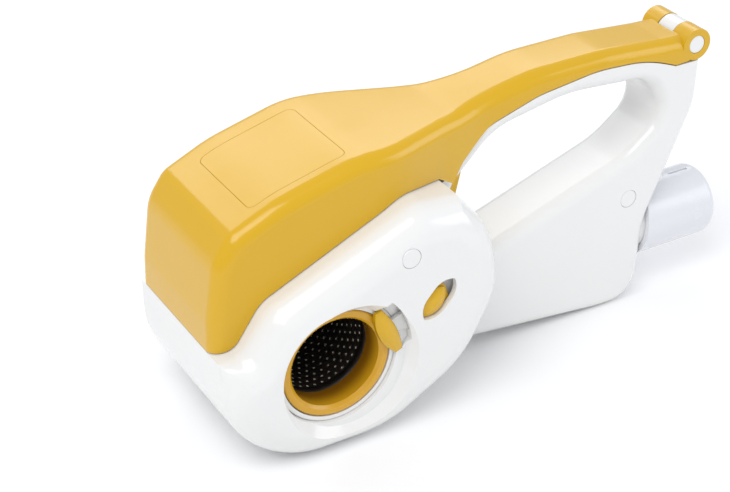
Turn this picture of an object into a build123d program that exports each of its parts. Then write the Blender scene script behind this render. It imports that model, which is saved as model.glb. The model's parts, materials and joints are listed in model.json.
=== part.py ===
from build123d import *
import os
from math import atan2, cos, degrees, hypot, pi, radians, sin, sqrt, tan

os.makedirs("parts", exist_ok=True)

# Cordless rotary grater.  Millimetres, Z up.  The model is laid out with X from the
# front of the lid to the tail, Y from the parting plane of the two shells (the
# dispensing mouth is on -Y) and Z from the table.  save() moves each piece to the
# part's own frame, whose origin is under the middle of the overall box.

# ---- overall -------------------------------------------------------------------
LENGTH = 245.0          # front of the lid to the end of the tail
MOUTH_FACE_Y = -45.0    # outer face of the dome around the dispensing mouth
DRIVE_FACE_Y = 60.0     # outer face of the drive cover
WALL = 2.4              # housing wall
LID_WALL = 2.4
COVER_WALL = 2.4
SEAM_GAP = 0.5          # lid edge above the housing
FIT = 0.15              # between fixed pieces that seat in one another
RUN = 0.06              # radial running clearance of shafts
SLIDE = 0.4             # around sliding and swinging pieces

# ---- lid and head --------------------------------------------------------------
FRONT_SEAM_Z = 50.0     # lower front edge of the lid
DECK_Z = 94.0           # rear end of the seam
HEAD_REAR_X = 118.0
LID_NEAR_Y = -29.0
LID_FAR_Y = 35.0
LID_EDGE_R = 6.0
DOME_EDGE_R = 13.0
BADGE_X = (22.0, 62.0)  # blank panel let into the lid's top
BADGE_Y = (-20.0, 23.0)
BADGE_T = 0.8

# ---- handle --------------------------------------------------------------------
GRIP_HALF = 14.0        # half width of handle and lever
GRIP_EDGE_R = 5.0
STRAP_TOP_Z = 106.0
STRAP_FRONT_X = 205.0
TUBE_UNDER_Z = 10.0
HINGE_X, HINGE_Z = 227.0, 113.3
KNUCKLE_R = 6.7
KNUCKLE_HALF = 4.6      # half width of the housing's knuckle
PIN_R = 2.0
PIN_CAP_R, PIN_CAP_T = 3.8, 2.0
TAIL_Z, TAIL_R, TAIL_WALL = 31.0, 15.5, 2.4
TAIL_FRONT_X = 198.0
SPIGOT_END_X = 224.0
SOCKET_R, SOCKET_DEPTH = 5.0, 9.0

# ---- drum ----------------------------------------------------------------------
DRUM_X, DRUM_Z = 44.5, 38.5
SIEVE_R, SIEVE_SHEET = 19.8, 0.8
SIEVE_NEAR_Y, SIEVE_FAR_Y = -29.0, 25.0
HOLE_R, HOLES_AROUND, HOLE_ROWS = 1.6, 14, 7
FLANGE_R = 22.3
FLANGE_FACE_Y = -40.0
FLANGE_T = 3.0
THROAT_R = 18.4
SLEEVE_R = 20.8
MOUTH_R = 24.6          # bore of the shell around the port ring
MOUTH_WALL = 2.0
MOUTH_END_Y = -31.0
DISH_R, DISH_SHIFT = 28.5, (4.0, -3.0)
DISH_FLOOR = 1.4        # shell left under the dish

# ---- food chamber and pusher, both concentric with the lid hinge ---------------
CHAMBER_FRONT_R = 209.0
CHAMBER_REAR_R = 176.0
CHAMBER_Y = (-22.0, 26.0)
CHAMBER_WALL = 2.0
CHAMBER_FOOT_Z = 50.0
PUSHER_GAP = 1.0
PUSHER_WALL = 2.0
DRUM_GAP = 1.2          # chamber and pusher above the drum

# ---- drive ---------------------------------------------------------------------
MODULE = 0.8
PRESSURE = radians(25)
DRUM_TEETH, IDLER_SMALL, IDLER_LARGE, PINION_TEETH = 54, 14, 52, 12
GEAR_FACE = 5.0
BACKLASH = 0.14
MOTOR_X, MOTOR_Z, MOTOR_R, MOTOR_LEN = 93.0, 50.0, 12.0, 30.0
MOTOR_SHAFT_R = 1.5
FAR_WALL_Y = 34.0       # outer face of the far shell at the gearbox
DRUM_GEAR_Y = 37.0
IDLER_LARGE_Y = 44.0
SHAFT_R = 3.0
AXLE_R = 1.5
BUSH_R = 5.0
COVER_SCREWS = [(20.9, 27.6), (43.1, 64.4), (106.0, 55.0), (73.0, 26.0)]
COVER_POST_R = 3.0

# ---- battery and board ---------------------------------------------------------
CELL_R, CELL_LEN = 5.2, 44.5
CELL_Y = 5.4
CELL_X = 147.0
CELL_Z = (14.0, 25.2)
BOARD_X, BOARD_Z, BOARD_T = (128.0, 190.0), 34.0, 1.6
SEAT = 0.2              # cradle and board inside the handle's walls
BOARD_HALF = GRIP_HALF - WALL - SEAT

# ---- latch and trigger ---------------------------------------------------------
LATCH_ANGLE = 47.0
LATCH_TRAVEL = 4.5
LATCH_BACK_Y = -40.5
BUTTON_AT = (84.4, 54.0)
BUTTON_LEN, BUTTON_W = 14.0, 9.2
TAB_AT, TAB_LEN, TAB_ANGLE = (65.0, 46.5), 21.5, 114.0
TAB_W, TAB_NEAR_R, TAB_FAR_R = 7.6, 34.0, 21.0
BAR_ENDS = [(68.5, 48.5), (87.5, 57.5), (90.0, 47.5)]   # tab, button, spring ear
BAR_R = 3.0
GUIDE_AT = (77.5, 52.6)
TRIGGER_HALF = 5.5
TRIGGER_PIVOT = (125.5, 95.5)
TRIGGER_PIN_R = 1.0

# ---- screws --------------------------------------------------------------------
SCREW_R, SCREW_HEAD_R, SCREW_HEAD_T = 1.5, 2.9, 2.0
PLUG_R, PLUG_T = 4.0, 2.0
BOSS_R = 5.0
NEAR_SCREWS = [(74.0, 77.0, MOUTH_FACE_Y), (197.0, 50.5, -GRIP_HALF)]
FAR_SCREWS = [(138.0, 15.0, GRIP_HALF), (219.5, 93.0, GRIP_HALF)]


# ---- helpers -------------------------------------------------------------------
def save(name, shape):
    shape = shape.moved(Location((-LENGTH / 2, -(MOUTH_FACE_Y + DRIVE_FACE_Y) / 2, 0)))
    shape.label = name
    export_step(shape, f"parts/{name}.step")


def outline(corners):
    """Closed face in X and Z through corners (x, z, radius)."""
    points = [(x, z) for x, z, r in corners]
    return make_face(FilletPolyline(*points, radius=[r for x, z, r in corners], close=True))


def slab(face, y_low, y_high):
    """A flat X-Z face as a solid between two Y planes."""
    return extrude(Plane.XZ * face, y_high - y_low, dir=(0, 1, 0)).moved(Location((0, y_low, 0)))


def rod(x, z, r, y_low, y_high):
    return slab(Pos(x, z) * Circle(r), y_low, y_high)


def tube(x, z, r_out, r_in, y_low, y_high):
    return slab(Pos(x, z) * (Circle(r_out) - Circle(r_in)), y_low, y_high)


def block(x, y, z):
    """Box from three (low, high) pairs."""
    size = [high - low for low, high in (x, y, z)]
    middle = [(high + low) / 2 for low, high in (x, y, z)]
    return Pos(*middle) * Box(*size)


def end_edges(solid, y):
    """Edges of a slab that lie in one Y plane."""
    return solid.edges().filter_by_position(Axis.Y, y - 0.01, y + 0.01)


def shifted(face, distance):
    """An X-Z face moved along the latch's slide."""
    angle = radians(LATCH_ANGLE)
    return Pos(distance * cos(angle), distance * sin(angle)) * face


# ---- outlines ------------------------------------------------------------------
SEAM = [(0, FRONT_SEAM_Z, 0), (9, FRONT_SEAM_Z + 1.5, 7), (20, 67, 14), (80, DECK_Z - 0.5, 18), (100, DECK_Z - 3, 0)]
HEAD_BACK = [(HEAD_REAR_X - 4.5, 75, 30), (HEAD_REAR_X, 50, 30), (102, 20, 45), (66, 0, 45), (0, 0, 38)]
LEVER_UNDER = [(108, 86, 0), (113, 93, 10), (127, 103.5, 18), (150, 110.5, 40), (178, 114, 60),
               (202, 112.6, 60), (217, 106.6, 0)]
LOOP = [(116, 43, 7), (111, 80, 9), (131, 99.5, 26), (165, 106, 60), (206, 103, 15), (214, 84, 12), (196, 70, 40)]
LID_TOP = [(224, 117, 0), (212, 117.5, 30), (182, 120, 60), (150, 119.8, 80), (112, 113.0, 40),
           (62, 112.8, 60), (30, 104.5, 60), (11, 96, 10), (4, 86, 20), (0.5, 62, 40)]
LID_PLAN = [(-10, LID_NEAR_Y, 0), (-10, LID_FAR_Y, 0), (72, LID_FAR_Y, 80), (104, 22, 60),
            (128, GRIP_HALF, 60), (240, GRIP_HALF, 0), (240, -GRIP_HALF, 0), (126, -GRIP_HALF, 60),
            (104, -20, 50), (78, LID_NEAR_Y, 60)]


def head_face():
    return outline(SEAM + HEAD_BACK)


def grip_face():
    """Outer side view of the grip: strand under the lever, strap and tube."""
    strand = [(x, z - SEAM_GAP, r) for x, z, r in LEVER_UNDER]
    rear = [(231, STRAP_TOP_Z, 0), (230, 86, 30), (208, 38, 40), (204, 0, 14)]
    front = [(185, 0, 60), (110, 8, 0), (90, 30, 0), (95, 80, 0)]
    return outline(strand + rear + front)


def lid_face():
    """Side view of the lid and lever above the seam."""
    seam = [(x, z + SEAM_GAP, r) for x, z, r in SEAM]
    return outline(LID_TOP + seam + LEVER_UNDER + [(224, 107, 0)])


def lid_full_face():
    """Everything under the lid's top line, down past the seam."""
    return outline(LID_TOP + [(0, 30, 0), (224, 30, 0)])


def sector(r_front, r_rear):
    """Ring about the lid hinge, cut to the head."""
    ring = Pos(HINGE_X, HINGE_Z) * (Circle(r_front) - Circle(r_rear))
    return ring & outline([(5, CHAMBER_FOOT_Z, 0), (80, CHAMBER_FOOT_Z, 0), (80, 130, 0), (5, 130, 0)])


def is_bare(edge):
    """True for the grip's edges that a hand meets: strap and tube, not the strand's top."""
    middle = edge.center()
    on_strap = middle.X > STRAP_FRONT_X and middle.Z < STRAP_TOP_Z - 0.5
    return middle.X > 112 and (middle.Z < TUBE_UNDER_Z or on_strap)


# ---- housing -------------------------------------------------------------------
def rounded_grip():
    solid = slab(grip_face() - outline(LOOP), -GRIP_HALF, GRIP_HALF)
    ends = [solid.faces().sort_by(Axis.Y)[0], solid.faces().sort_by(Axis.Y)[-1]]
    bare = [e for end in ends for e in end.outer_wire().edges() if is_bare(e)]
    loop = [e for end in ends for e in end.inner_wires()[0].edges()]
    return fillet(bare + loop, GRIP_EDGE_R)


def x_rod(r, x_low, x_high, y=0.0, z=TAIL_Z):
    return Pos((x_low + x_high) / 2, y, z) * Rot(0, 90, 0) * Cylinder(r, x_high - x_low)


def housing():
    """Both shells in one: walls only, before the openings."""
    head = slab(head_face(), MOUTH_FACE_Y, FAR_WALL_Y)
    head = fillet(end_edges(head, MOUTH_FACE_Y), DOME_EDGE_R)
    knuckle = rod(HINGE_X, HINGE_Z, KNUCKLE_R - 0.2, -KNUCKLE_HALF, KNUCKLE_HALF)
    stem = block((HINGE_X - 5, HINGE_X + 4), (-KNUCKLE_HALF, KNUCKLE_HALF), (STRAP_TOP_Z - 3, HINGE_Z - 3))
    spigot_r = TAIL_R - TAIL_WALL - FIT
    outer = head + rounded_grip() + knuckle + stem + x_rod(spigot_r, TAIL_FRONT_X, SPIGOT_END_X)
    near_inner = MOUTH_FACE_Y + WALL
    hollow = slab(offset(head_face(), -WALL), near_inner, FAR_WALL_Y - WALL)
    hollow = fillet(end_edges(hollow, near_inner), DOME_EDGE_R - WALL)
    inner_grip = offset(grip_face(), -WALL) - offset(outline(LOOP), WALL)
    hollow += slab(inner_grip, WALL - GRIP_HALF, GRIP_HALF - WALL)
    hollow += x_rod(spigot_r - WALL, TAIL_FRONT_X, SPIGOT_END_X + 1)
    return outer, outer - hollow


def tab_face():
    """Lens-shaped tab of the drum latch, with blunt ends."""
    lens = (Pos(0, TAB_NEAR_R - TAB_W / 2) * Circle(TAB_NEAR_R)) & (Pos(0, TAB_W / 2 - TAB_FAR_R) * Circle(TAB_FAR_R))
    return Pos(*TAB_AT) * Rot(0, 0, TAB_ANGLE) * (lens & Rectangle(TAB_LEN, 20))


def trigger_face():
    """Side view of the trigger: finger face in the loop, toe behind the wall."""
    return outline([(127.3, 98.2, 1.5), (130.8, 96.2, 1), (121, 85.5, 14), (117.5, 72, 12), (116.5, 60, 2),
                    (111.2, 60, 0), (111.2, 56, 0.8), (107.6, 56, 0.8), (107.6, 79, 6), (122.5, 95.2, 2)])


def trigger_slot():
    """The hole in the loop's front wall that the trigger swings through."""
    return outline([(126.6, 99.3, 0), (133.5, 96, 0), (124, 84, 0), (119, 59.6, 0), (105, 59.6, 0), (105, 82, 0)])


def near_bosses():
    """Screw posts of the near shell, with plug pocket, head pocket and shank hole."""
    posts, holes = [], []
    for x, z, face_y in NEAR_SCREWS:
        seat = -GRIP_HALF + PLUG_T + SCREW_HEAD_T + 3
        posts.append(rod(x, z, BOSS_R, face_y + 1, -FIT))
        holes.append(rod(x, z, PLUG_R, face_y - 1, face_y + PLUG_T))
        holes.append(rod(x, z, SCREW_HEAD_R + FIT, face_y - 1, seat))
        holes.append(rod(x, z, SCREW_R + FIT, face_y - 1, 1))
    for x, z, face_y in FAR_SCREWS:
        posts.append(rod(x, z, BOSS_R - 1, -GRIP_HALF + 1, -FIT))
        holes.append(rod(x, z, SCREW_R, -GRIP_HALF + WALL, 1))
    return posts, holes


def far_bosses():
    posts, holes = [], []
    for x, z, face_y in NEAR_SCREWS:
        top = FAR_WALL_Y if x < HEAD_REAR_X else GRIP_HALF
        posts.append(rod(x, z, BOSS_R - 1, FIT, top - 1))
        holes.append(rod(x, z, SCREW_R, -1, top - WALL))
    for x, z, face_y in FAR_SCREWS:
        posts.append(rod(x, z, BOSS_R - 1, FIT, face_y - 1))
        holes.append(rod(x, z, SCREW_R + FIT, -1, face_y + 1))
        holes.append(rod(x, z, SCREW_HEAD_R + FIT, face_y - SCREW_HEAD_T - 1, face_y + 1))
    return posts, holes


def chamber_outer(extra):
    face = sector(CHAMBER_FRONT_R + CHAMBER_WALL + extra, CHAMBER_REAR_R - CHAMBER_WALL - extra)
    return slab(face, CHAMBER_Y[0] - CHAMBER_WALL - extra, CHAMBER_Y[1] + CHAMBER_WALL + extra)


def make_shells():
    outer, walls = housing()
    everywhere = 400
    near_half = block((-50, 300), (-everywhere, 0), (-50, 200))
    far_half = block((-50, 300), (0, everywhere), (-50, 200))
    slot = slab(trigger_slot(), -TRIGGER_HALF - SLIDE, TRIGGER_HALF + SLIDE)
    pin_hole = rod(HINGE_X, HINGE_Z, PIN_R, -20, 20)
    walls = walls - chamber_outer(FIT) - slot - pin_hole

    posts, holes = near_bosses()
    ears = [block((122.5, 128.5), (y, y + 2), (91.5, 99.8)) for y in (-8.4, 6.4)]
    pivot = rod(*TRIGGER_PIVOT, TRIGGER_PIN_R, -9, 9)
    seat = rod(DRUM_X, DRUM_Z, MOUTH_R + MOUTH_WALL, MOUTH_FACE_Y + 1, MOUTH_END_Y)
    seat += rod(DRUM_X + DISH_SHIFT[0], DRUM_Z + DISH_SHIFT[1], DISH_R + 2, MOUTH_FACE_Y + 1, LATCH_BACK_Y + 0.3)
    near = (walls & near_half) + [p & outer for p in [seat, ears[0]] + posts]
    dish = Pos(DRUM_X + DISH_SHIFT[0], 0, DRUM_Z + DISH_SHIFT[1]) * Rot(90, 0, 0)
    dish_depth = FLANGE_FACE_Y - MOUTH_FACE_Y - DISH_FLOOR
    dish_cone = dish * Pos(0, 0, -MOUTH_FACE_Y - dish_depth / 2) * Cone(MOUTH_R, DISH_R, dish_depth)
    near = near - rod(DRUM_X, DRUM_Z, MOUTH_R, MOUTH_FACE_Y - 1, MOUTH_END_Y - 2) - dish_cone
    near = near - rod(DRUM_X, DRUM_Z, SLEEVE_R + 0.8, MOUTH_FACE_Y, MOUTH_END_Y + 1)
    near = near - slab(swept(tab_face(), SLIDE), MOUTH_FACE_Y - 1, LATCH_BACK_Y + 0.4)
    near = near - slab(swept(button_face(), SLIDE), MOUTH_FACE_Y - 1, LATCH_BACK_Y + 0.4)
    near = near - slab(bar_face(LATCH_TRAVEL, BAR_R + SLIDE), MOUTH_FACE_Y + WALL, LATCH_BACK_Y + 0.4)
    near = near - holes - pivot

    posts, holes = far_bosses()
    far = (walls & far_half) + [p & outer for p in posts] + [ears[1] & outer]
    far = far + [tube(x, z, COVER_POST_R, SCREW_R, FAR_WALL_Y - 1, 46) for x, z in COVER_SCREWS]
    far = far + rod(*idler_centre(), 3.4, FAR_WALL_Y - 1, DRUM_GEAR_Y - 0.4)
    far = far - holes - pivot
    far = far - rod(DRUM_X, DRUM_Z, BUSH_R + FIT, 0, 80) - rod(MOTOR_X, MOTOR_Z, 5, 0, 80)
    far = far - rod(*idler_centre(), AXLE_R, FAR_WALL_Y - WALL, 80)
    return near, far


# ---- gears ---------------------------------------------------------------------
def idler_centre():
    """Meshes with the drum gear and the motor pinion, above the line between them."""
    a = MODULE * (DRUM_TEETH + IDLER_SMALL) / 2
    b = MODULE * (IDLER_LARGE + PINION_TEETH) / 2
    dx, dz = MOTOR_X - DRUM_X, MOTOR_Z - DRUM_Z
    d = hypot(dx, dz)
    along = (d * d + a * a - b * b) / (2 * d)
    aside = sqrt(a * a - along * along)
    return (DRUM_X + (along * dx - aside * dz) / d, DRUM_Z + (along * dz + aside * dx) / d)


def gear_face(teeth, phase):
    """Spur gear outline with one tooth centred at the angle phase."""
    pitch_r = MODULE * teeth / 2
    base_r = pitch_r * cos(PRESSURE)
    tip_r = pitch_r + 0.8 * MODULE
    root_r = pitch_r - 1.1 * MODULE
    half = pi / (2 * teeth) - BACKLASH / (2 * pitch_r)

    def spread(r):
        """Half angle of a tooth at radius r."""
        if r <= base_r:
            return half + tan(PRESSURE) - PRESSURE
        roll = sqrt((r / base_r) ** 2 - 1)
        return half + tan(PRESSURE) - PRESSURE - (roll - atan2(roll, 1))

    start_r = max(root_r, base_r)
    steps = [start_r + (tip_r - start_r) * k / 4 for k in range(5)]
    radii = ([root_r] if root_r < base_r else []) + steps
    points = []
    for tooth in range(teeth):
        middle = phase + 2 * pi * tooth / teeth
        for r in radii:
            points.append((r * cos(middle - spread(r)), r * sin(middle - spread(r))))
        for r in reversed(radii):
            points.append((r * cos(middle + spread(r)), r * sin(middle + spread(r))))
    return make_face(Polyline(*points, close=True))


def gear(teeth, phase, centre, y_low, y_high):
    return slab(Pos(*centre) * gear_face(teeth, phase), y_low, y_high)


def make_gears():
    drum, motor, idler = (DRUM_X, DRUM_Z), (MOTOR_X, MOTOR_Z), idler_centre()
    first = atan2(idler[1] - drum[1], idler[0] - drum[0])
    second = atan2(motor[1] - idler[1], motor[0] - idler[0])
    gear_end = DRUM_GEAR_Y + GEAR_FACE
    large_end = IDLER_LARGE_Y + GEAR_FACE
    bore = rod(*drum, SHAFT_R, 0, 80)
    drum_gear = gear(DRUM_TEETH, first, drum, DRUM_GEAR_Y, gear_end)
    drum_gear = drum_gear + rod(*drum, 6, DRUM_GEAR_Y - 1, gear_end + 1) - bore
    save("drum_gear", drum_gear)
    small = gear(IDLER_SMALL, first + pi + pi / IDLER_SMALL, idler, DRUM_GEAR_Y, IDLER_LARGE_Y)
    large = gear(IDLER_LARGE, second, idler, IDLER_LARGE_Y, large_end)
    save("idler_gear", small + large - rod(*idler, AXLE_R + RUN, 0, 80))
    pinion = gear(PINION_TEETH, second + pi + pi / PINION_TEETH, motor, IDLER_LARGE_Y - 0.5, large_end + 0.5)
    save("motor_pinion", pinion - rod(*motor, MOTOR_SHAFT_R, 0, 80))


def make_drive():
    large_end = IDLER_LARGE_Y + GEAR_FACE
    cover_inner = DRIVE_FACE_Y - COVER_WALL
    wall_in = FAR_WALL_Y - WALL
    shaft = rod(DRUM_X, DRUM_Z, SHAFT_R, SIEVE_FAR_Y + 4.5, large_end)
    hexagon = slab(Pos(DRUM_X, DRUM_Z) * RegularPolygon(SHAFT_R - 0.1, 6), SIEVE_FAR_Y - 2.5, SIEVE_FAR_Y + 4.5)
    save("drum_shaft", shaft + hexagon)
    save("drum_bearing", tube(DRUM_X, DRUM_Z, BUSH_R, SHAFT_R + RUN, wall_in - 1, DRUM_GEAR_Y - 1.4)
         + tube(DRUM_X, DRUM_Z, BUSH_R + 1.5, SHAFT_R + RUN, wall_in - 1, wall_in))
    save("idler_axle", rod(*idler_centre(), AXLE_R, wall_in + 0.4, cover_inner - 0.2))
    can = rod(MOTOR_X, MOTOR_Z, MOTOR_R, wall_in - MOTOR_LEN, wall_in)
    nose = rod(MOTOR_X, MOTOR_Z, 4.8, wall_in, FAR_WALL_Y + 1)
    bore = rod(MOTOR_X, MOTOR_Z, MOTOR_SHAFT_R + RUN, -20, 80)
    save("motor_can", can + nose - bore)
    cap_y = wall_in - MOTOR_LEN
    cap = rod(MOTOR_X, MOTOR_Z, MOTOR_R - 0.5, cap_y - 3, cap_y)
    tabs = [block((MOTOR_X + dx - 1.2, MOTOR_X + dx + 1.2), (cap_y - 7, cap_y - 2.9), (MOTOR_Z - 0.3, MOTOR_Z + 0.3))
            for dx in (-7, 7)]
    save("motor_end_cap", cap - bore + tabs)
    save("motor_shaft", rod(MOTOR_X, MOTOR_Z, MOTOR_SHAFT_R, cap_y - 4, large_end + 1.5))
    band = tube(MOTOR_X, MOTOR_Z, MOTOR_R + 2, MOTOR_R + 0.05, wall_in - 9, wall_in)
    feet = [block((MOTOR_X + dx - 3, MOTOR_X + dx + 3), (wall_in - 3, wall_in), (MOTOR_Z - 4, MOTOR_Z + 4))
            for dx in (-15, 15)]
    save("motor_clamp", band + [f - rod(MOTOR_X, MOTOR_Z, MOTOR_R + 1, 0, 40) for f in feet])


def cover_face():
    circles = [Pos(DRUM_X, DRUM_Z) * Circle(32), Pos(*idler_centre()) * Circle(27), Pos(MOTOR_X, MOTOR_Z) * Circle(20)]
    return make_hull([e for c in circles for e in c.edges()])


def make_drive_cover():
    inner_y = DRIVE_FACE_Y - COVER_WALL
    face = cover_face()
    cover = slab(face, FAR_WALL_Y + 0.1, DRIVE_FACE_Y)
    cover = fillet(end_edges(cover, DRIVE_FACE_Y), 6)
    outer = cover
    hollow = slab(offset(face, -COVER_WALL), FAR_WALL_Y - 1, inner_y)
    hollow = fillet(end_edges(hollow, inner_y), 6 - COVER_WALL)
    posts = [rod(x, z, COVER_POST_R, 46.1, inner_y + 1) for x, z in COVER_SCREWS]
    posts += [rod(x, z, COVER_POST_R + 1.4, IDLER_LARGE_Y + GEAR_FACE + 1.5, inner_y + 1) for x, z in COVER_SCREWS]
    posts.append(tube(DRUM_X, DRUM_Z, 5, SHAFT_R + RUN, IDLER_LARGE_Y - 0.6, inner_y + 1))
    posts.append(tube(*idler_centre(), 3.5, AXLE_R, IDLER_LARGE_Y + GEAR_FACE + 0.5, inner_y + 1))
    cover = cover - hollow + [p & outer for p in posts]
    for x, z in COVER_SCREWS:
        cover = cover - rod(x, z, SCREW_R + FIT, 40, 70) - rod(x, z, SCREW_HEAD_R + FIT, inner_y - 2, 70)
    save("drive_cover", cover)


def screw(x, z, head_y, tip_y):
    """Pan screw along Y; head_y is the underside of its head."""
    step = SCREW_HEAD_T if tip_y < head_y else -SCREW_HEAD_T
    shank = rod(x, z, SCREW_R - 0.05, min(head_y, tip_y), max(head_y, tip_y))
    head = rod(x, z, SCREW_HEAD_R, min(head_y, head_y + step), max(head_y, head_y + step))
    slot = block((x - SCREW_HEAD_R, x + SCREW_HEAD_R), (head_y + step - 0.7, head_y + step + 0.7), (z - 0.4, z + 0.4))
    return shank + head - slot


def make_screws():
    seat = -GRIP_HALF + PLUG_T + SCREW_HEAD_T + 3
    shells = [screw(x, z, seat, 8) for x, z, face_y in NEAR_SCREWS]
    shells += [screw(x, z, face_y - SCREW_HEAD_T - 1, -8) for x, z, face_y in FAR_SCREWS]
    save("housing_screws", Compound(shells))
    head_y = DRIVE_FACE_Y - COVER_WALL - 2
    save("drive_cover_screws", Compound([screw(x, z, head_y, FAR_WALL_Y + 2) for x, z in COVER_SCREWS]))
    for number, (x, z, face_y) in enumerate(NEAR_SCREWS, 1):
        save(f"screw_plug_{number}", rod(x, z, PLUG_R - 0.1, face_y, face_y + PLUG_T))


# ---- drum ----------------------------------------------------------------------
def make_drum():
    at = (DRUM_X, DRUM_Z)
    flange_back = FLANGE_FACE_Y + FLANGE_T
    sleeve_end = SIEVE_NEAR_Y + 2
    collar = rod(*at, FLANGE_R, FLANGE_FACE_Y, flange_back) + rod(*at, SLEEVE_R, flange_back, sleeve_end)
    collar = fillet(end_edges(collar, FLANGE_FACE_Y), 0.8)
    collar = collar - rod(*at, THROAT_R, FLANGE_FACE_Y - 1, sleeve_end)
    collar = collar - rod(*at, SIEVE_R + 0.05, SIEVE_NEAR_Y, sleeve_end)
    mouth = end_edges(collar, FLANGE_FACE_Y).sort_by(SortBy.LENGTH)[0]
    save("drum_collar", chamfer(mouth, 1.2))

    sieve = tube(*at, SIEVE_R, SIEVE_R - SIEVE_SHEET, SIEVE_NEAR_Y, SIEVE_FAR_Y)
    pitch = (SIEVE_FAR_Y - SIEVE_NEAR_Y - 10) / (HOLE_ROWS - 1)
    holes = []
    for row in range(HOLE_ROWS):
        y = SIEVE_NEAR_Y + 5 + row * pitch
        for k in range(HOLES_AROUND):
            turn = 360 * (k + 0.5 * (row % 2)) / HOLES_AROUND
            pin = Rot(0, turn, 0) * Pos(0, 0, SIEVE_R) * Cylinder(HOLE_R, 4)
            holes.append(Pos(DRUM_X, y, DRUM_Z) * pin)
    save("drum_sieve", sieve - holes)

    boss_end = SIEVE_FAR_Y + 3.5
    hub = rod(*at, SIEVE_R - SIEVE_SHEET - 0.05, SIEVE_FAR_Y - 3, SIEVE_FAR_Y) + rod(*at, 6, SIEVE_FAR_Y - 3, boss_end)
    socket = slab(Pos(*at) * RegularPolygon(SHAFT_R, 6), SIEVE_FAR_Y - 2.9, boss_end + 1)
    save("drum_hub", hub - socket)


def make_port_ring():
    at = (DRUM_X, DRUM_Z)
    floor_y = FLANGE_FACE_Y + FLANGE_T + 0.3
    ring = rod(*at, MOUTH_R - FIT, FLANGE_FACE_Y, MOUTH_END_Y - 2.1)
    ring = fillet(end_edges(ring, FLANGE_FACE_Y), 0.5)
    ring = ring - rod(*at, FLANGE_R + 0.35, FLANGE_FACE_Y - 1, floor_y) - rod(*at, SLEEVE_R + RUN, -60, 0)
    save("port_ring", ring)


# ---- food chamber and pusher ---------------------------------------------------
def chamber_top():
    return outline([(-20, 0, 0), (200, 0, 0), (200, 139, 0), (-20, 77.7, 0)])


def make_chamber():
    outer = chamber_outer(0)
    inner_face = sector(CHAMBER_FRONT_R, CHAMBER_REAR_R)
    inner = slab(inner_face, *CHAMBER_Y)
    below = block((0, 120), CHAMBER_Y, (CHAMBER_FOOT_Z - 3, CHAMBER_FOOT_Z))
    chamber = outer - inner - below
    chamber = chamber & slab(chamber_top(), -60, 60)
    save("food_chamber", chamber - rod(DRUM_X, DRUM_Z, SIEVE_R + DRUM_GAP, -60, 60))


def make_pusher():
    gap, wall = PUSHER_GAP, PUSHER_WALL
    lid_inside = offset(lid_full_face(), -LID_WALL - FIT)
    face = sector(CHAMBER_FRONT_R - gap, CHAMBER_REAR_R + gap) & lid_inside
    face = face - Pos(DRUM_X, DRUM_Z) * Circle(SIEVE_R + DRUM_GAP)
    low, high = CHAMBER_Y[0] + gap, CHAMBER_Y[1] - gap
    pocket = sector(CHAMBER_FRONT_R - gap - wall, CHAMBER_REAR_R + gap + wall)
    pocket = pocket - Pos(DRUM_X, DRUM_Z) * Circle(SIEVE_R + DRUM_GAP + wall)
    save("food_pusher", slab(face, low, high) - slab(pocket, low + wall, high - wall))


# ---- lid -----------------------------------------------------------------------
def upper_edges(solid):
    """Edges where the top of the lid meets its sides."""
    chosen = []
    for edge in solid.edges():
        middle = edge @ 0.5
        along = edge % 0.5
        from_seam = middle.Z > 60 + 0.55 * min(middle.X, 100)
        front = middle.X < 14 and middle.Z > FRONT_SEAM_Z + 4
        if (from_seam or front) and abs(along.Y) < 0.9 and abs(middle.Y) > 10:
            chosen.append(edge)
    return chosen


def lid_solid(inset, radius):
    plan = offset(make_face(lid_plan()), -inset) if inset else make_face(lid_plan())
    side = offset(lid_full_face(), -inset) if inset else lid_face()
    solid = slab(side, -60, 60) & extrude(plan, 200)
    return fillet(upper_edges(solid), radius)


def lid_plan():
    points = [(x, y) for x, y, r in LID_PLAN]
    return FilletPolyline(*points, radius=[r for x, y, r in LID_PLAN], close=True)


def badge_plan(inset):
    (x0, x1), (y0, y1) = BADGE_X, BADGE_Y
    face = RectangleRounded(x1 - x0 - 2 * inset, y1 - y0 - 2 * inset, 3 - inset)
    return extrude(Pos((x0 + x1) / 2, (y0 + y1) / 2, 85) * face, 40)


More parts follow.
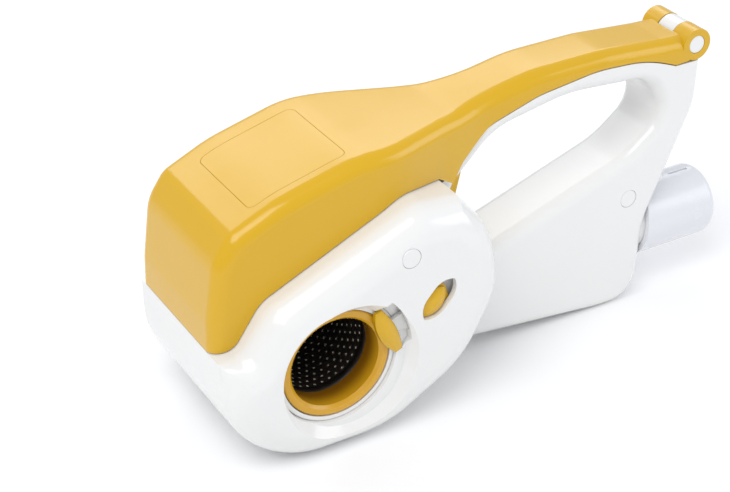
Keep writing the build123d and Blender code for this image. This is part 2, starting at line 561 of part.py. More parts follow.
def make_lid():
    lid = lid_solid(0, LID_EDGE_R)
    hollow = lid_solid(LID_WALL, LID_EDGE_R - LID_WALL)
    lid = lid - hollow
    knuckle_in = KNUCKLE_HALF + SLIDE
    knuckles = [rod(HINGE_X, HINGE_Z, KNUCKLE_R, -GRIP_HALF, -knuckle_in),
                rod(HINGE_X, HINGE_Z, KNUCKLE_R, knuckle_in, GRIP_HALF)]
    ribs = sector(CHAMBER_FRONT_R - 8, CHAMBER_REAR_R + 8) & lid_full_face()
    ribs = ribs & outline([(0, 90, 0), (120, 104, 0), (120, 130, 0), (0, 130, 0)])
    inside = PUSHER_GAP + PUSHER_WALL + FIT
    low, high = CHAMBER_Y[0] + inside, CHAMBER_Y[1] - inside
    lid = lid + knuckles + (slab(ribs, low, low + 2) & hollow) + (slab(ribs, high - 2, high) & hollow)
    lid = lid - rod(HINGE_X, HINGE_Z, KNUCKLE_R + 0.4, -knuckle_in, knuckle_in)
    lid = lid - block((HINGE_X - 5.6, HINGE_X + 8), (-knuckle_in, knuckle_in), (100, HINGE_Z))
    lid = lid - rod(HINGE_X, HINGE_Z, PIN_R + RUN, -20, 20)
    for side in (-1, 1):
        pocket = rod(HINGE_X, HINGE_Z, PIN_CAP_R + 0.05, 0, PIN_CAP_T + 1)
        lid = lid - pocket.moved(Location((0, side * GRIP_HALF - (PIN_CAP_T if side > 0 else 1), 0)))
    skin = lid_full_face() - Pos(0, -BADGE_T) * lid_full_face()
    save("lid", lid - (slab(skin, -30, 40) & badge_plan(0)))
    save("badge_plate", slab(skin, -30, 40) & badge_plan(0.15))
    cap_in = GRIP_HALF - PIN_CAP_T
    save("hinge_pin", rod(HINGE_X, HINGE_Z, PIN_R, 0.2 - cap_in, cap_in - 0.2))
    save("pin_cap_near", fillet(end_edges(rod(HINGE_X, HINGE_Z, PIN_CAP_R, -GRIP_HALF, -cap_in), -GRIP_HALF), 0.5))
    save("pin_cap_far", fillet(end_edges(rod(HINGE_X, HINGE_Z, PIN_CAP_R, cap_in, GRIP_HALF), GRIP_HALF), 0.5))


# ---- latch and trigger ---------------------------------------------------------
def button_face():
    """Almond with its long axis along the slide."""
    length, width = BUTTON_LEN, BUTTON_W
    r = (length ** 2 + width ** 2) / (4 * width)
    side = r - width / 2
    lens = (Pos(0, side) * Circle(r)) & (Pos(0, -side) * Circle(r))
    return Pos(*BUTTON_AT) * Rot(0, 0, LATCH_ANGLE) * lens


def swept(face, margin):
    """Room for a face that slides with the latch."""
    grown = offset(face, margin)
    return make_hull(grown.edges() + shifted(grown, LATCH_TRAVEL).edges())


def bar_face(travel, r):
    """Plate between tab and button, with an ear for the spring, over the given travel."""
    angle = radians(LATCH_ANGLE)
    dx, dz = travel * cos(angle), travel * sin(angle)
    (x0, z0), (x1, z1), (x2, z2) = BAR_ENDS
    corners = [(x0, z0), (x2, z2), (x1, z1)]
    if travel:
        corners = [(x0, z0), (x2, z2), (x2 + dx, z2 + dz), (x1 + dx, z1 + dz), (x0 + dx, z0 + dz)]
    return offset(make_face(Polyline(*corners, close=True)), r)


def coil(pitch, height, radius, wire_r):
    path = Helix(pitch, height, radius)
    return sweep(Plane(origin=path @ 0, z_dir=path % 0) * Circle(wire_r), path=path)


def make_latch():
    back, front = LATCH_BACK_Y, MOUTH_FACE_Y + WALL + 0.5
    tab = slab(tab_face(), MOUTH_FACE_Y + 1, back)
    button = slab(button_face(), MOUTH_FACE_Y + 0.2, back)
    save("latch", tab + button + slab(bar_face(0, BAR_R), front, back))

    plate_y = (back + 0.4, back + 2)
    cover = Pos(*GUIDE_AT) * Rot(0, 0, LATCH_ANGLE) * RectangleRounded(40, 31, 4)
    ring_clear = Pos(DRUM_X, DRUM_Z) * Circle(MOUTH_R + MOUTH_WALL + FIT)
    angle = radians(LATCH_ANGLE)
    peg = (BAR_ENDS[2][0] - 12.4 * cos(angle), BAR_ENDS[2][1] - 12.4 * sin(angle))
    boss_clear = Pos(*NEAR_SCREWS[0][:2]) * Circle(BOSS_R + FIT)
    guide = slab(cover - ring_clear - boss_clear, *plate_y) + rod(*peg, 0.8, front, plate_y[0])
    save("latch_guide", guide)
    spring = coil(0.9, 5.0, 0.75, 0.22)
    start = (BAR_ENDS[2][0] - 11.1 * cos(angle), BAR_ENDS[2][1] - 11.1 * sin(angle))
    middle_y = (front + back) / 2
    save("latch_spring", Pos(start[0], middle_y, start[1]) * Rot(0, 90 - LATCH_ANGLE, 0) * spring)


def make_trigger():
    trigger = slab(trigger_face(), -TRIGGER_HALF, TRIGGER_HALF)
    trigger = trigger - rod(*TRIGGER_PIVOT, TRIGGER_PIN_R + RUN, -20, 20) - rod(*TRIGGER_PIVOT, 2.35, -2, 2)
    save("trigger", trigger)
    save("trigger_pin", rod(*TRIGGER_PIVOT, TRIGGER_PIN_R, -8.4, 8.4))
    spring = Rot(-90, 0, 0) * coil(0.7, 2.8, 1.6, 0.25)
    save("trigger_spring", Pos(TRIGGER_PIVOT[0], -1.4, TRIGGER_PIVOT[1]) * spring)


# ---- battery, board, switch and tail -------------------------------------------
def make_power():
    number = 0
    for z in CELL_Z:
        for y in (-CELL_Y, CELL_Y):
            number += 1
            cell = x_rod(CELL_R, CELL_X, CELL_X + CELL_LEN - 1, y, z)
            save(f"battery_cell_{number}", cell + x_rod(1.9, CELL_X, CELL_X + CELL_LEN, y, z))
    x_low, x_high = CELL_X - 2.8, CELL_X + CELL_LEN + 2.6
    cradle = block((x_low, x_high), (-BOARD_HALF, BOARD_HALF), (8.6, 30.6))
    cradle = cradle - block((CELL_X - 0.2, CELL_X + CELL_LEN + 0.2), (-CELL_Y - CELL_R - SEAT, CELL_Y + CELL_R + SEAT), (8, 31))
    save("battery_cradle", cradle)
    board = block(BOARD_X, (-BOARD_HALF, BOARD_HALF), (BOARD_Z, BOARD_Z + BOARD_T))
    top = BOARD_Z + BOARD_T
    parts = [block((140, 152), (-5, 5), (top, top + 2)), block((160, 166), (-7, -1), (top, top + 4)),
             block((172, 184), (-4, 6), (top, top + 5.5)), block((130, 135), (-8, 8), (top, top + 5.5))]
    save("circuit_board", board + parts)
    save("micro_switch", block((97, 104), (-4, 4), (65, 76)) + x_rod(0.8, 103, 105.4, 0, 70))
    save("switch_bracket", block((95, 97), (-4, FAR_WALL_Y - WALL), (64.3, 77)))


def make_tail():
    cap = x_rod(TAIL_R, TAIL_FRONT_X, LENGTH)
    rim = cap.faces().sort_by(Axis.X)[-1].edges()
    cap = fillet(rim, 4)
    cap = cap - x_rod(TAIL_R - TAIL_WALL, TAIL_FRONT_X - 1, LENGTH - TAIL_WALL)
    cap = cap - slab(offset(grip_face(), 0.3), -20, 20)
    cap = cap - x_rod(SOCKET_R + FIT, LENGTH - 6, LENGTH + 1)
    save("tail_cap", cap - block((LENGTH - 16, LENGTH - 6), (-0.6, 0.6), (TAIL_Z + TAIL_R - 0.8, 60)))
    socket = x_rod(SOCKET_R, LENGTH - SOCKET_DEPTH - 1.5, LENGTH - 0.3)
    socket = socket + x_rod(SOCKET_R + 1.6, LENGTH - TAIL_WALL - 1.8, LENGTH - TAIL_WALL - 0.1)
    save("charging_socket", socket - x_rod(3.4, LENGTH - SOCKET_DEPTH, LENGTH + 1))
    save("charging_pin", x_rod(0.8, LENGTH - SOCKET_DEPTH, LENGTH - 2))


near_shell, far_shell = make_shells()
save("near_shell", near_shell)
save("far_shell", far_shell)
make_drive_cover()
make_gears()
make_drive()
make_screws()
make_drum()
make_port_ring()
make_chamber()
make_pusher()
make_lid()
make_latch()
make_trigger()
make_power()
make_tail()
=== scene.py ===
import json
import math

import bmesh
import bpy
from mathutils import Matrix, Vector


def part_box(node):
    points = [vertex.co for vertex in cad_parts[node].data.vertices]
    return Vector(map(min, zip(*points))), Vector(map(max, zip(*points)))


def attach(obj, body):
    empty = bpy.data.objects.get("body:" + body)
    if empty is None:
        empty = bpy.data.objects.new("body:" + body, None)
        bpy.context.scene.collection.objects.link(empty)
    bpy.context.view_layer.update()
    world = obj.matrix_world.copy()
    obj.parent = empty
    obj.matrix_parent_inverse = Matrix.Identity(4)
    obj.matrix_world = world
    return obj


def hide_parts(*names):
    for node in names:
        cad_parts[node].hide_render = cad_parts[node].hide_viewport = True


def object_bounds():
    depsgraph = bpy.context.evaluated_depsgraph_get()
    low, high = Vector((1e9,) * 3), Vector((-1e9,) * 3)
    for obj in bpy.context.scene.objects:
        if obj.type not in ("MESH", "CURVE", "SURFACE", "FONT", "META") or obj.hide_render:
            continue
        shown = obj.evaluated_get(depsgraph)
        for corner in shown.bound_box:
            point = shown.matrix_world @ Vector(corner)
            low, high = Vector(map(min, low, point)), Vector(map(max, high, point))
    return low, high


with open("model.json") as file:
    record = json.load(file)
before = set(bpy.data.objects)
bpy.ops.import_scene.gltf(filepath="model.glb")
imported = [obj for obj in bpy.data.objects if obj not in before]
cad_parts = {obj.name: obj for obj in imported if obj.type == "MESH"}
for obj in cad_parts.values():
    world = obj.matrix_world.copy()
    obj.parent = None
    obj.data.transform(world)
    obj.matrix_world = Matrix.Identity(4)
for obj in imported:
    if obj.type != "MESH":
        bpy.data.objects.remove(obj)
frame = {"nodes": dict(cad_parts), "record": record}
cad_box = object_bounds()
MM = 0.001


# ---- Studio ----------------------------------------------------------------------
# A pale seamless floor, one large soft light from the upper left, a weaker one from
# the right and a strip behind for the gloss. The camera looks slightly down on the
# dispensing side.
AZIMUTH, ELEVATION = math.radians(-31.32), math.radians(30.71)
back = Vector((math.sin(AZIMUTH) * math.cos(ELEVATION), -math.cos(AZIMUTH) * math.cos(ELEVATION), math.sin(ELEVATION)))
right = Vector((math.cos(AZIMUTH), math.sin(AZIMUTH), 0))
up = back.cross(right)
camera_data = bpy.data.cameras.new("camera")
camera_data.lens = 88.8
camera_data.sensor_width = 36
camera_data.shift_x = -0.0795
camera_data.shift_y = -0.0247
camera = bpy.data.objects.new("camera", camera_data)
camera.matrix_world = Matrix((right, up, back)).transposed().to_4x4()
camera.location = (-0.33439, -0.52997, 0.42076)
bpy.context.collection.objects.link(camera)
bpy.context.scene.camera = camera


def soft_light(name, place, aim, size, power, colour):
    data = bpy.data.lights.new(name, "AREA")
    data.shape = "RECTANGLE"
    data.size, data.size_y = size
    data.energy = power
    data.color = colour
    lamp = bpy.data.objects.new(name, data)
    lamp.location = place
    lamp.rotation_euler = (Vector(aim) - Vector(place)).to_track_quat("-Z", "Y").to_euler()
    bpy.context.collection.objects.link(lamp)


soft_light("key", (-0.55, -0.35, 0.95), (0, 0, 0.05), (0.7, 0.7), 5.6, (1, 0.99, 0.97))
soft_light("fill", (0.85, -0.55, 0.5), (0, 0, 0.05), (0.6, 0.6), 2.4, (0.96, 0.98, 1))
soft_light("rear_strip", (0.2, 0.8, 0.7), (0, 0, 0.08), (1.2, 0.3), 2.6, (1, 1, 1))
world = bpy.data.worlds.new("room")
world.use_nodes = True
world.node_tree.nodes["Background"].inputs[0].default_value = (0.93, 0.95, 1, 1)
world.node_tree.nodes["Background"].inputs[1].default_value = 0.72
bpy.context.scene.world = world
bpy.context.scene.view_settings.view_transform = "Standard"


class Value:
    """A shader socket that can be used in Python arithmetic."""

    def __init__(self, tree, socket):
        self.tree = tree
        self.socket = socket

    def join(self, operation, first, second):
        node = self.tree.nodes.new("ShaderNodeMath")
        node.operation = operation
        for socket, item in zip(node.inputs, (first, second)):
            if isinstance(item, Value):
                self.tree.links.new(item.socket, socket)
            else:
                socket.default_value = item
        return Value(self.tree, node.outputs[0])

    def __add__(self, other):
        return self.join("ADD", self, other)

    def __sub__(self, other):
        return self.join("SUBTRACT", self, other)

    def __truediv__(self, other):
        return self.join("DIVIDE", self, other)

    def __rsub__(self, other):
        return self.join("SUBTRACT", other, self)

    def __mul__(self, other):
        return self.join("MULTIPLY", self, other)

    __radd__ = __add__
    __rmul__ = __mul__


class Tree:
    """A node tree under construction."""

    def __init__(self, tree):
        self.tree = tree

    def make(self, kind, settings, inputs, out=0):
        node = self.tree.nodes.new(kind)
        for key, value in settings.items():
            setattr(node, key, value)
        for key, value in inputs.items():
            self.feed(node.inputs[key], value)
        return Value(self.tree, node.outputs[out])

    def feed(self, socket, value):
        for item in value if isinstance(value, list) else [value]:
            if isinstance(item, Value):
                self.tree.links.new(item.socket, socket)
            else:
                socket.default_value = item


class Finish(Tree):
    """One material under construction."""

    def __init__(self, name):
        self.material = bpy.data.materials.new(name)
        self.material.use_nodes = True
        super().__init__(self.material.node_tree)
        self.shader = self.tree.nodes["Principled BSDF"]

    def place(self):
        return self.make("ShaderNodeTexCoord", {}, {}, "Object")

    def along(self, axis):
        """Distance along one axis, 0, 1 or 2, from the frame's origin."""
        return self.make("ShaderNodeSeparateXYZ", {}, {0: self.place()}, axis)

    def noise(self, scale, detail=3.0):
        return self.make("ShaderNodeTexNoise", {}, {"Vector": self.place(), "Scale": scale, "Detail": detail})

    def mix(self, factor, first, second):
        return self.make("ShaderNodeMix", {"data_type": "RGBA"}, {0: factor, 6: first, 7: second}, 2)

    def ramp(self, factor, low, high):
        return self.make("ShaderNodeMapRange", {"interpolation_type": "SMOOTHSTEP"},
                         {"Value": factor, "From Min": low, "From Max": high})

    def bump(self, height, depth):
        self.set(Normal=self.make("ShaderNodeBump", {}, {"Height": height, "Distance": depth, "Strength": 1.0}))

    def set(self, **values):
        for key, value in values.items():
            self.feed(self.shader.inputs[key.replace("_", " ")], value)

    def colour_so_far(self):
        return Value(self.tree, self.shader.inputs["Base Color"].links[0].from_socket)


def colour(r, g, b):
    return (r, g, b, 1)


floor_finish = Finish("paper_floor")
floor_tone = floor_finish.noise(3.0, 2.0)
floor_finish.set(Base_Color=floor_finish.mix(floor_tone, colour(0.95, 0.95, 0.95), colour(0.93, 0.93, 0.93)))
floor_finish.set(Roughness=0.85)
floor_mesh = bpy.data.meshes.new("floor")
FLOOR_REACH = 6
floor_mesh.from_pydata([(x * FLOOR_REACH, y * FLOOR_REACH, 0) for x, y in ((-1, -1), (1, -1), (1, 1), (-1, 1))],
                       [], [(0, 1, 2, 3)])
floor = bpy.data.objects.new("floor", floor_mesh)
floor_mesh.materials.append(floor_finish.material)
bpy.context.collection.objects.link(floor)


# ---- Body shells -----------------------------------------------------------------
# Two injection-moulded ABS halves that meet on the middle plane of the handle and
# are screwed together. Their edges are broken by the mould, so a fine line shows
# where they meet.
BODY_OF = {node: body for body, nodes in frame["record"]["behaviour"]["bodies"].items() for node in nodes}


def flatten(piece):
    """Applies a piece's modifiers to its mesh."""
    depsgraph = bpy.context.evaluated_depsgraph_get()
    mesh = bpy.data.meshes.new_from_object(piece.evaluated_get(depsgraph))
    piece.modifiers.clear()
    piece.data = mesh
    return piece


def dressed(node, material, edge, turns=2, limit=32, shape=None):
    """The moulding of a node with its sharp edges broken by a small radius."""
    built = bmesh.new()
    built.from_mesh(frame["nodes"][node].data)
    bmesh.ops.remove_doubles(built, verts=built.verts, dist=1e-6)
    bmesh.ops.dissolve_limit(built, angle_limit=math.radians(0.4), verts=built.verts, edges=built.edges)
    if shape:
        shape(built)
    mesh = bpy.data.meshes.new(node + "_moulding")
    built.to_mesh(mesh)
    built.free()
    mesh.materials.clear()
    mesh.materials.append(material)
    piece = bpy.data.objects.new(node + "_moulding", mesh)
    bpy.context.collection.objects.link(piece)
    for polygon in mesh.polygons:
        polygon.use_smooth = True
    bevel = piece.modifiers.new("edge", "BEVEL")
    bevel.width = edge
    bevel.segments = turns
    bevel.limit_method = "ANGLE"
    bevel.angle_limit = math.radians(limit)
    shading = piece.modifiers.new("shading", "WEIGHTED_NORMAL")
    shading.mode = "FACE_AREA"
    shading.weight = 60
    flatten(piece)
    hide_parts(node)
    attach(piece, BODY_OF[node])
    return piece


def coat_node(node, material):
    """Gives a CAD node its finish and leaves its shape alone."""
    for slot in frame["nodes"][node].material_slots:
        slot.material = material


def tint(base, gain):
    return (base[0] * gain, base[1] * gain, base[2] * gain, 1)


def moulded(name, base, gloss, coat, grain=0.00002):
    """Injection-moulded plastic: faint flow shading, handling smudges and orange peel."""
    finish = Finish(name)
    flow = finish.noise(9.0, 2.0)
    smudge = finish.ramp(finish.noise(42.0, 5.0), 0.45, 0.75)
    speck = finish.ramp(finish.noise(900.0, 2.0), 0.66, 0.74)
    finish.set(Base_Color=finish.mix(flow * 0.8 + speck * 0.12, tint(base, 1.03), tint(base, 0.955)))
    finish.set(Roughness=gloss + smudge * 0.06 + flow * 0.03)
    finish.set(Coat_Weight=coat, Coat_Roughness=0.12, IOR=1.5)
    finish.bump(finish.noise(650.0, 2.0) + finish.noise(120.0, 1.0) * 2.0, grain)
    return finish


white_abs = moulded("white_abs", (0.80, 0.80, 0.785), 0.17, 0.3).material
dressed("near_shell", white_abs, 0.3 * MM)
dressed("far_shell", white_abs, 0.3 * MM)

# ---- Drive cover -----------------------------------------------------------------
# The moulded hood over the gears on the far side, held by four screws from outside.
# It is the same white as the shells.
dressed("drive_cover", white_abs, 0.3 * MM)

# ---- Screws ----------------------------------------------------------------------
# Plated pan-head screws with a cross recess. One set holds the cover, one set the
# two shells.
plated_steel = Finish("plated_steel")
plated_haze = plated_steel.noise(260.0, 4.0)
plated_steel.set(Base_Color=plated_steel.mix(plated_haze, colour(0.60, 0.60, 0.58), colour(0.44, 0.44, 0.44)))
plated_steel.set(Metallic=1.0, Roughness=0.24 + plated_haze * 0.14)
plated_steel.bump(plated_haze, 0.00002)


class Geometry(Tree):
    """A geometry node tree under construction, with named inputs for its sizes."""

    def __init__(self, name, **sizes):
        super().__init__(bpy.data.node_groups.new(name, "GeometryNodeTree"))
        self.sizes = sizes
        sides = self.tree.interface
        sides.new_socket("Geometry", in_out="INPUT", socket_type="NodeSocketGeometry")
        for key in sizes:
            sides.new_socket(key, in_out="INPUT", socket_type="NodeSocketFloat")
        sides.new_socket("Geometry", in_out="OUTPUT", socket_type="NodeSocketGeometry")
        self.entry = self.tree.nodes.new("NodeGroupInput")

    def size(self, key):
        return Value(self.tree, self.entry.outputs[key])

    def vector(self, x, y, z):
        return self.make("ShaderNodeCombineXYZ", {}, {0: x, 1: y, 2: z})

    def moved(self, geometry, place=(0, 0, 0), turn=(0, 0, 0)):
        return self.make("GeometryNodeTransform", {}, {"Geometry": geometry, "Translation": place, "Rotation": turn})

    def on_points(self, shape):
        points = Value(self.tree, self.entry.outputs[0])
        return self.make("GeometryNodeInstanceOnPoints", {}, {"Points": points, "Instance": shape})

    def finish(self, geometry, name, places, *materials):
        """Ends the tree, runs it on a piece of bare points and keeps the plain mesh."""
        done = self.make("GeometryNodeRealizeInstances", {}, {0: geometry})
        for material in materials:
            chosen = {"Geometry": done, "Material": material}
            if len(materials) > 1:
                chosen["Selection"] = self.make("GeometryNodeMaterialSelection", {}, {"Material": material})
            done = self.make("GeometryNodeSetMaterial", {}, chosen)
        self.feed(self.tree.nodes.new("NodeGroupOutput").inputs[0], done)
        mesh = bpy.data.meshes.new(name)
        mesh.from_pydata(places, [], [])
        piece = bpy.data.objects.new(name, mesh)
        bpy.context.collection.objects.link(piece)
        modifier = piece.modifiers.new("made", "NODES")
        modifier.node_group = self.tree
        for item in self.tree.interface.items_tree:
            if item.in_out == "INPUT" and item.name in self.sizes:
                modifier[item.identifier] = self.sizes[item.name]
        return flatten(piece)


def screws(node, places, outward, length):
    """Cross-recess screws with their heads' undersides at the given places."""
    made = Geometry(node + "_maker", head_radius=2.8 * MM, head_height=1.9 * MM, shank_radius=1.4 * MM,
                    length=length, recess_length=3.4 * MM, recess_width=0.7 * MM, recess_depth=1.1 * MM)
    height, shank = made.size("head_height"), made.size("length")
    head = made.make("GeometryNodeMeshCylinder", {},
                     {"Vertices": 40, "Radius": made.size("head_radius"), "Depth": height})
    head = made.moved(head, made.vector(0, 0, height * 0.5))
    cutter = made.vector(made.size("recess_length"), made.size("recess_width"), made.size("recess_depth") * 2)
    blade = made.make("GeometryNodeMeshCube", {}, {"Size": cutter})
    blades = [made.moved(blade, made.vector(0, 0, height), (0, 0, turn)) for turn in (0, math.pi / 2)]
    head = made.make("GeometryNodeMeshBoolean", {"operation": "DIFFERENCE", "solver": "EXACT"},
                     {"Mesh 1": head, "Mesh 2": blades})
    rod = made.make("GeometryNodeMeshCylinder", {},
                    {"Vertices": 24, "Radius": made.size("shank_radius"), "Depth": shank})
    rod = made.moved(rod, made.vector(0, 0, shank * -0.5))
    screw = made.make("GeometryNodeJoinGeometry", {}, {0: [head, rod]})
    screw = made.moved(screw, turn=(-math.pi / 2 * outward, 0, 0))
    piece = made.finish(made.on_points(screw), node + "_set", places, plated_steel.material)
    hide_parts(node)
    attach(piece, BODY_OF[node])


MOUTH_DEPTH = 45


def design(x, y, z):
    """A place given in mm from the lid's front, the parting plane and the table, in metres."""
    return (cad_box[0][0] + x * MM, cad_box[0][1] + (MOUTH_DEPTH + y) * MM, z * MM)


COVER_SCREWS = ((20.9, 27.6), (43.1, 64.4), (106, 55), (73, 26))
screws("drive_cover_screws", [design(x, 55.6, z) for x, z in COVER_SCREWS], 1, 19.6 * MM)
screws("housing_screws", [design(74, -7, 77), design(197, -7, 50.5)], -1, 15 * MM)
screws("housing_screws", [design(138, 11, 15), design(219.5, 11, 93)], 1, 19 * MM)

# ---- Port ring, chamber and plugs ------------------------------------------------
# White mouldings in the body: the ring that the drum turns in, the chamber that
# holds the food against the drum, and the plugs over the two near screws.
dressed("port_ring", white_abs, 0.25 * MM)
dressed("food_chamber", white_abs, 0.25 * MM)
dressed("screw_plug_1", white_abs, 0.3 * MM)
dressed("screw_plug_2", white_abs, 0.3 * MM)

# ---- Lid and lever ---------------------------------------------------------------
# One long glossy yellow moulding that is pressed down by hand, with a blank panel
# let into its top and white discs over the ends of its hinge pin.
YELLOW = (0.66, 0.385, 0.003)
yellow_abs = moulded("yellow_abs", YELLOW, 0.2, 0.12).material
dressed("lid", yellow_abs, 0.25 * MM)
dressed("badge_plate", yellow_abs, 0.06 * MM)
dressed("pin_cap_near", white_abs, 0.25 * MM)
dressed("pin_cap_far", white_abs, 0.25 * MM)
dressed("food_pusher", white_abs, 0.3 * MM)

# ---- Latch and trigger -----------------------------------------------------------
# The lens-shaped tab that holds the drum and the almond button that draws it back
# are one yellow piece with domed fronts. Beside the tab, the bar between them is
# painted a darker grey: painted shade that stands for pale plastic in the shadow of
# its recess. The trigger is yellow too.
TAB_CROWN, BUTTON_CROWN, TAB_SET_BACK = 1.7 * MM, 1.7 * MM, 0.8 * MM
CROWN_PROFILE = ((0.96, 0.12), (0.90, 0.24), (0.80, 0.40), (0.66, 0.60), (0.48, 0.79), (0.26, 0.94))
latch_low, latch_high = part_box("latch")


def crowned(built):
    """Domes the flat fronts of the tab and the button."""
    for depth, rise in ((latch_low[1], BUTTON_CROWN), (latch_low[1] + TAB_SET_BACK, TAB_CROWN)):
        fronts = [face for face in built.faces
                  if face.normal.y < -0.99 and abs(face.calc_center_median().y - depth) < 0.02 * MM]
        for front in fronts:
            centre = front.calc_center_median_weighted()
            outline = list(front.verts)
            built.faces.remove(front)
            for vert in outline:
                vert.co.y += rise
            before = outline
            for scale, height in CROWN_PROFILE:
                ring = [built.verts.new((centre.x + (vert.co.x - centre.x) * scale, depth + rise * (1 - height),
                                         centre.z + (vert.co.z - centre.z) * scale)) for vert in outline]
                for index, vert in enumerate(ring):
                    after = (index + 1) % len(ring)
                    built.faces.new((before[index], before[after], ring[after], vert))
                before = ring
            top = built.verts.new((centre.x, depth, centre.z))
            for index, vert in enumerate(before):
                built.faces.new((vert, before[(index + 1) % len(before)], top))
    bmesh.ops.recalc_face_normals(built, faces=built.faces)


latch_abs = moulded("latch_abs", YELLOW, 0.2, 0.12)
bar_depth = latch_low[1] + 2.5 * MM
bar_start = latch_low[0] + 5.5 * MM
bar_end = latch_low[0] + (latch_high[0] - latch_low[0]) * 0.55
# Painted shade: the bar's faces beside the tab, deeper than its front, are painted grey for pale plastic shaded in the
# recess.
bar_shade_mask = latch_abs.ramp(latch_abs.along(1), bar_depth, bar_depth + 0.1 * MM)
bar_shade_mask = bar_shade_mask * (1 - latch_abs.ramp(latch_abs.along(0), bar_end, bar_end + 0.5 * MM))
bar_shade_mask = bar_shade_mask * latch_abs.ramp(latch_abs.along(0), bar_start, bar_start + 0.5 * MM)
latch_abs.set(Base_Color=latch_abs.mix(bar_shade_mask, latch_abs.colour_so_far(), colour(0.62, 0.62, 0.60)))
dressed("latch", latch_abs.material, 0.25 * MM, 2, 40, crowned)
dressed("trigger", yellow_abs, 0.5 * MM, 3)
dressed("latch_guide", white_abs, 0.2 * MM)

# ---- Drum ------------------------------------------------------------------------
# A coated steel sheet punched with small teeth, rolled into a tube and pressed into
# an amber collar whose throat lets the food out. The throat's wall is painted darker
# towards the drum: painted shade.
amber_abs = moulded("amber_abs", (0.64, 0.34, 0.012), 0.22, 0.15)
throat_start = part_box("drum_collar")[0][1] + 1.5 * MM
# Painted shade: the amber darkens to brown along the throat towards the drum, where the throat lies in shadow.
throat_painted_shade = amber_abs.ramp(amber_abs.along(1), throat_start, throat_start + 7.5 * MM) * 0.85
amber_abs.set(Base_Color=amber_abs.mix(throat_painted_shade, amber_abs.colour_so_far(), colour(0.20, 0.075, 0.004)))
dressed("drum_collar", amber_abs.material, 0.3 * MM)
coated_sheet = Finish("coated_sheet")
coating = coated_sheet.noise(380.0, 4.0)
coated_sheet.set(Base_Color=coated_sheet.mix(coating, colour(0.022, 0.019, 0.017), colour(0.045, 0.04, 0.036)))
coated_sheet.set(Metallic=0.35, Roughness=0.34 + coating * 0.16)
coated_sheet.bump(coating, 0.00003)
# Painted highlight: the lips of the sheet's holes are a bare punched edge lightened to a pale cream that stands for
# bright glints in the holes.
bare_edge = Finish("bare_edge")
bare_edge.set(Base_Color=colour(0.95, 0.90, 0.74), Metallic=0.25, Roughness=0.3 + bare_edge.noise(900.0) * 0.1)

drum_low, drum_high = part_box("drum_sieve")
drum_centre = [(low + high) / 2 for low, high in zip(drum_low, drum_high)]
drum_radius = (drum_high[0] - drum_low[0]) / 2
AROUND, ROWS, RIM = 38, 15, 3.5 * MM
row_pitch = (drum_high[1] - drum_low[1] - 2 * RIM) / ROWS
tile_width = 2 * math.pi * drum_radius / AROUND
TOOTH_RISE, SHEET_T, HOLE_R, TOOTH_SIDES, RIM_SIDES = 0.4 * MM, 0.8 * MM, 0.42 * MM, 8, 120
sheet_radius = drum_radius - TOOTH_RISE


def tooth_tile():
    """One flat cell of the sheet with a hole whose lip is pushed outwards and painted light as a highlight."""
    built = bmesh.new()
    loops = []
    for widths, height in ((None, 0), (1.9, 0), (1.15, TOOTH_RISE), (1, TOOTH_RISE), (1, TOOTH_RISE - SHEET_T * 0.9),
                           (1.25, -SHEET_T * 0.7), (1.9, -SHEET_T), (None, -SHEET_T)):
        loop = []
        for step in range(TOOTH_SIDES):
            angle = 2 * math.pi * step / TOOTH_SIDES
            cos_a, sin_a = math.cos(angle), math.sin(angle)
            if widths is None:
                reach = 0.5 / max(abs(cos_a), abs(sin_a))
                place = (cos_a * reach * tile_width, sin_a * reach * row_pitch, height)
            else:
                place = (cos_a * widths * HOLE_R, sin_a * widths * HOLE_R, height)
            loop.append(built.verts.new(place))
        loops.append(loop)
    for index, (first, second) in enumerate(zip(loops, loops[1:])):
        for step in range(TOOTH_SIDES):
            after = (step + 1) % TOOTH_SIDES
            face = built.faces.new((first[step], first[after], second[after], second[step]))
            face.smooth = True
            # The lip's faces take the second material, the painted highlight.
            face.material_index = 1 if index in (2, 3, 4) else 0
    bmesh.ops.recalc_face_normals(built, faces=built.faces)
    mesh = bpy.data.meshes.new("tooth_tile")
    built.to_mesh(mesh)
    built.free()
    mesh.materials.append(coated_sheet.material)
    mesh.materials.append(bare_edge.material)
    return mesh


def rolled_sheet():
    """The tiles in staggered rows, rolled to the drum's radius."""
    tile = bpy.data.objects.new("tooth_tile", tooth_tile())
    bpy.context.collection.objects.link(tile)
    places = [((column + 0.5 * (row % 2)) * tile_width, RIM + (row + 0.5) * row_pitch, 0)
              for row in range(ROWS) for column in range(AROUND)]
    made = Geometry("rolled_sheet_maker", radius=sheet_radius)
    one = made.make("GeometryNodeObjectInfo", {}, {"Object": tile}, "Geometry")
    flat = made.make("GeometryNodeRealizeInstances", {}, {0: made.on_points(one)})
    here = made.make("GeometryNodeInputPosition", {}, {})
    x, y, z = (made.make("ShaderNodeSeparateXYZ", {}, {0: here}, axis) for axis in range(3))
    radius = made.size("radius")
    angle, reach = x / radius, z + radius
    side = made.make("ShaderNodeMath", {"operation": "SINE"}, {0: angle}) * reach
    rise = made.make("ShaderNodeMath", {"operation": "COSINE"}, {0: angle}) * reach
    bent = made.make("GeometryNodeSetPosition", {}, {"Geometry": flat, "Position": made.vector(side, y, rise)})
    bent = made.moved(bent, (drum_centre[0], drum_low[1], drum_centre[2]))
    piece = made.finish(bent, "drum_sheet", places, coated_sheet.material, bare_edge.material)
    bpy.data.objects.remove(tile)
    return piece


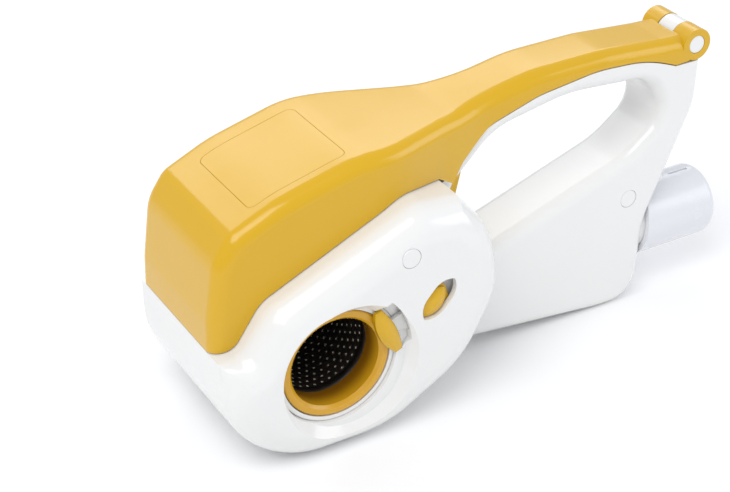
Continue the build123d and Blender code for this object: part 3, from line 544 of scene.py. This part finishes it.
def add_rims(piece):
    """Plain bands at both ends of the sheet, against the tiles."""
    built = bmesh.new()
    built.from_mesh(piece.data)
    inner = sheet_radius - SHEET_T
    for low, high in ((drum_low[1], drum_low[1] + RIM), (drum_high[1] - RIM, drum_high[1])):
        rings = []
        for radius, y in ((sheet_radius, low), (sheet_radius, high), (inner, high), (inner, low)):
            angles = [2 * math.pi * step / RIM_SIDES for step in range(RIM_SIDES)]
            rings.append([built.verts.new((drum_centre[0] + radius * math.sin(angle), y,
                                           drum_centre[2] + radius * math.cos(angle))) for angle in angles])
        for first, second in zip(rings, rings[1:] + rings[:1]):
            for step in range(RIM_SIDES):
                after = (step + 1) % RIM_SIDES
                built.faces.new((first[step], first[after], second[after], second[step])).smooth = True
    bmesh.ops.remove_doubles(built, verts=built.verts, dist=1e-6)
    bmesh.ops.recalc_face_normals(built, faces=built.faces)
    built.to_mesh(piece.data)
    built.free()


drum_sheet = rolled_sheet()
add_rims(drum_sheet)
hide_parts("drum_sieve")
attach(drum_sheet, "drum")

# ---- Hub, gears and shafts -------------------------------------------------------
# Hidden behind the drum and under the cover: a dark hub, acetal gears with a little
# grease, ground steel shafts and a sintered bush.
acetal = moulded("acetal", (0.78, 0.77, 0.72), 0.34, 0.05).material
for node in ("drum_gear", "idler_gear"):
    coat_node(node, acetal)
dark_nylon = moulded("dark_nylon", (0.035, 0.035, 0.037), 0.42, 0.0, 0.00004).material
bronze = Finish("sintered_bronze")
pores = bronze.noise(1400.0, 3.0)
bronze.set(Base_Color=bronze.mix(pores, colour(0.62, 0.42, 0.20), colour(0.42, 0.27, 0.12)))
bronze.set(Metallic=0.9, Roughness=0.38 + pores * 0.2)
bronze.bump(pores, 0.00003)
for node in ("drum_bearing", "motor_pinion"):
    coat_node(node, bronze.material)
for node in ("drum_shaft", "idler_axle", "motor_shaft", "hinge_pin", "trigger_pin", "trigger_spring", "latch_spring",
             "motor_can", "switch_bracket", "charging_pin"):
    coat_node(node, plated_steel.material)
for node in ("drum_hub", "motor_end_cap", "motor_clamp", "battery_cradle", "micro_switch"):
    coat_node(node, dark_nylon)

# ---- Cells and board -------------------------------------------------------------
# Four sleeved cells lie in a cradle in the handle, and the glass-fibre board with
# its green mask is fixed above them.
sleeve = Finish("cell_sleeve")
BAND_AT = 55 * MM
band = sleeve.ramp(sleeve.along(0), BAND_AT, BAND_AT + 0.5 * MM)
sleeve.set(Base_Color=sleeve.mix(band, colour(0.03, 0.12, 0.06), colour(0.62, 0.44, 0.16)))
sleeve.set(Roughness=0.26 + sleeve.noise(90.0) * 0.12, Coat_Weight=0.4)
for number in range(1, 5):
    coat_node(f"battery_cell_{number}", sleeve.material)
board_mask = Finish("board_mask")
traces = board_mask.ramp(board_mask.noise(420.0, 1.0), 0.52, 0.54)
board_mask.set(Base_Color=board_mask.mix(traces, colour(0.012, 0.09, 0.035), colour(0.03, 0.16, 0.06)))
board_mask.set(Roughness=0.32 + traces * 0.15)
board_mask.bump(traces, 0.00004)
coat_node("circuit_board", board_mask.material)

# ---- Tail ------------------------------------------------------------------------
# A pale grey cap pushed over the spigot at the end of the handle, with the charging
# socket in its end.
pale_grey_abs = moulded("pale_grey_abs", (0.72, 0.73, 0.76), 0.22, 0.3).material
dressed("tail_cap", pale_grey_abs, 0.3 * MM)
dressed("charging_socket", dark_nylon, 0.2 * MM)
